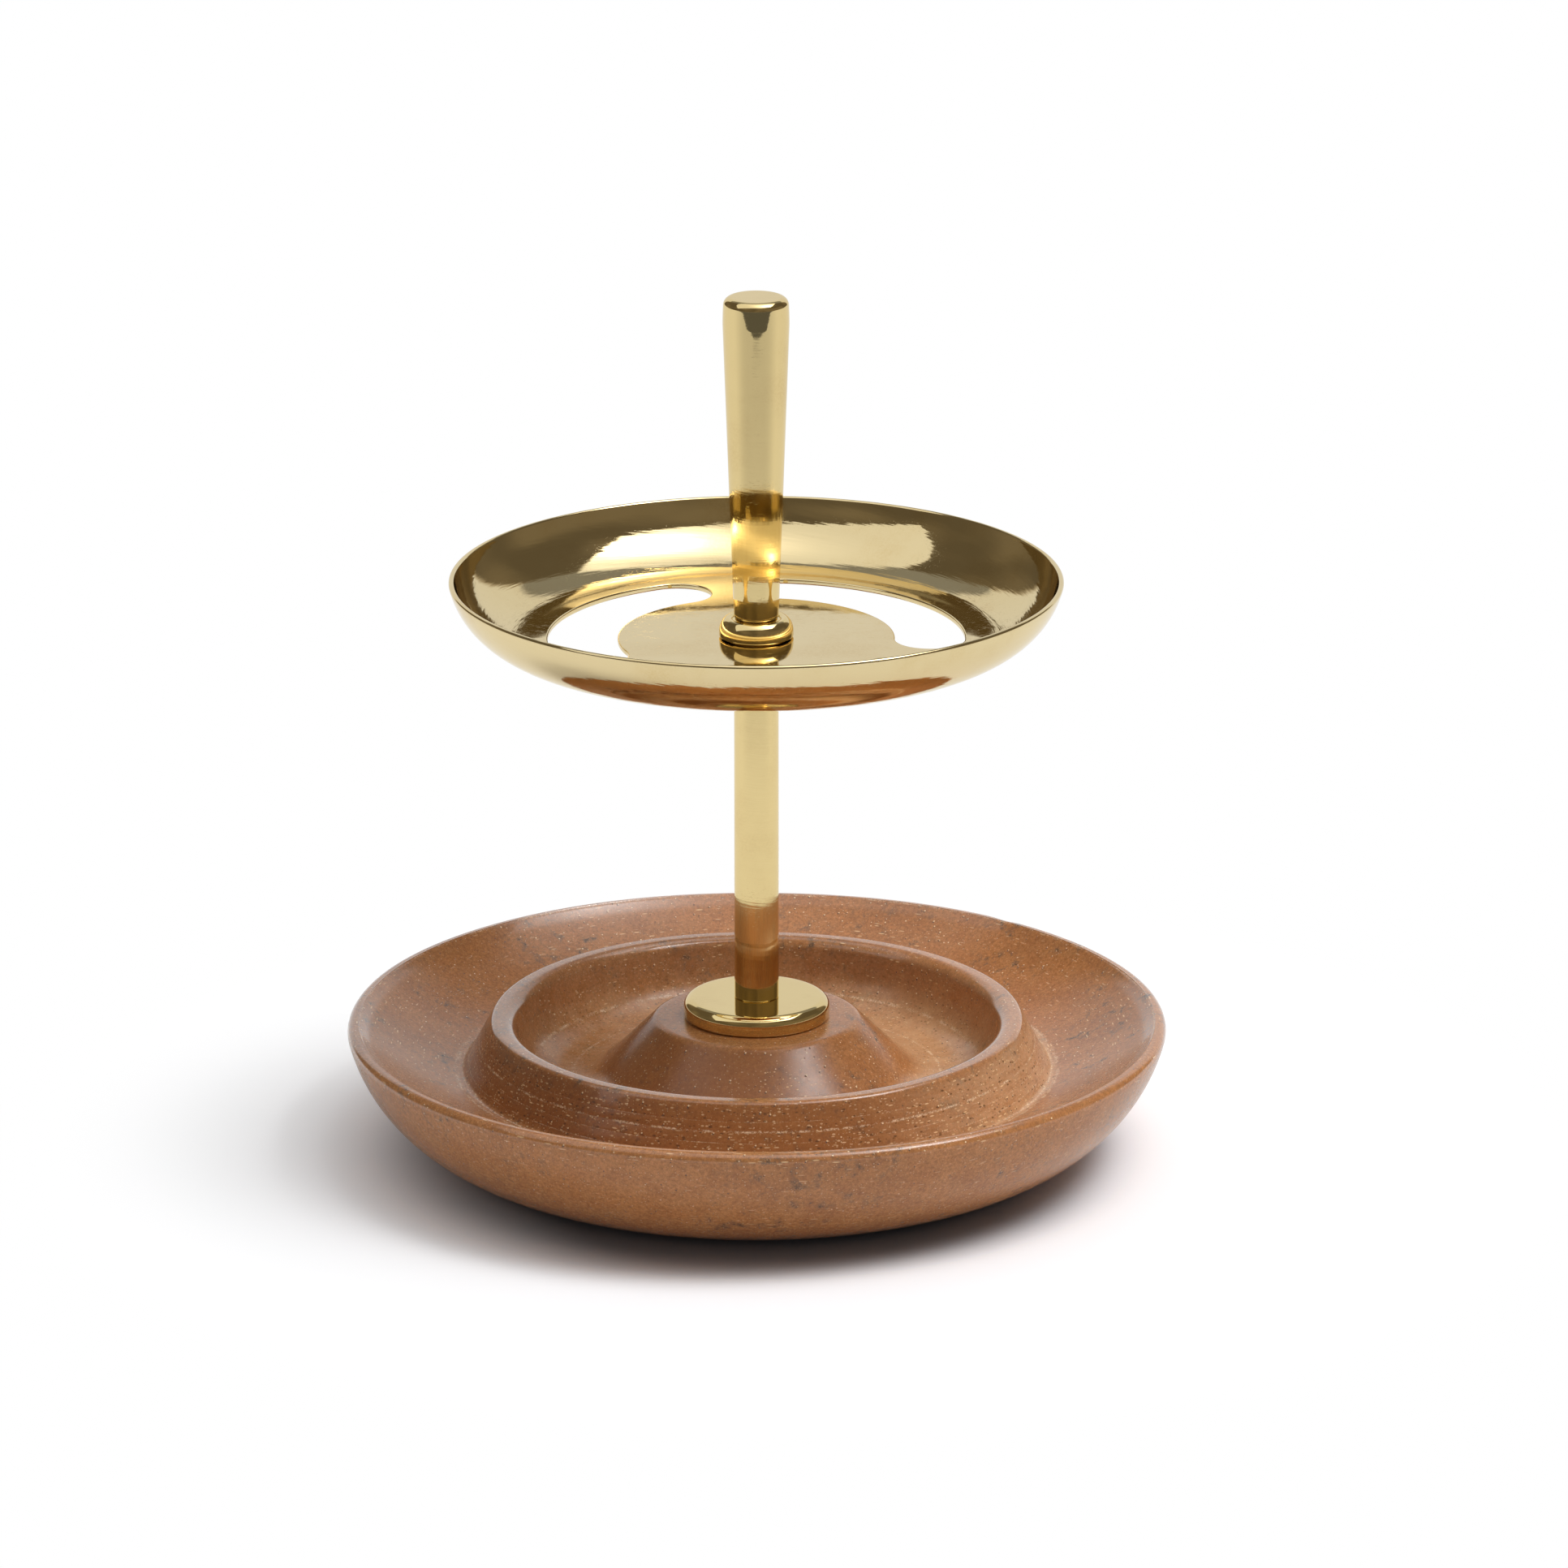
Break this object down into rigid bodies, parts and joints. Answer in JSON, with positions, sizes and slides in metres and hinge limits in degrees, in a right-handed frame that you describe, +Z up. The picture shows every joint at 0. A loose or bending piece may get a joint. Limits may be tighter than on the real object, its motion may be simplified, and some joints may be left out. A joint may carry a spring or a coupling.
{
  "type": "pen stand",
  "caption": "Free-standing pen stand: a turned stone bowl, a brass post that carries a slotted brass dish for pens to lean in, and a tapered brass grip on top.",
  "frame": {"origin": "centre of the underside of the felt pad, on the desk", "axes": "+Z up along the post, -Y the side that the picture shows"},
  "size_m": [0.1494, 0.1494, 0.1599],
  "materials": {
    "stone": "satin",
    "brass": "polished",
    "steel": "satin",
    "felt": "matte"
  },
  "bodies": {
    "root": {"stone_base": "stone", "felt_pad": "felt", "foot_flange": "brass", "lower_post": "brass", "dish": "brass", "collar": "brass", "handle": "brass", "tie_stud": "steel", "clamp_washer": "steel", "lock_washer": "steel", "stud_nut": "steel"}
  },
  "joints": []
}
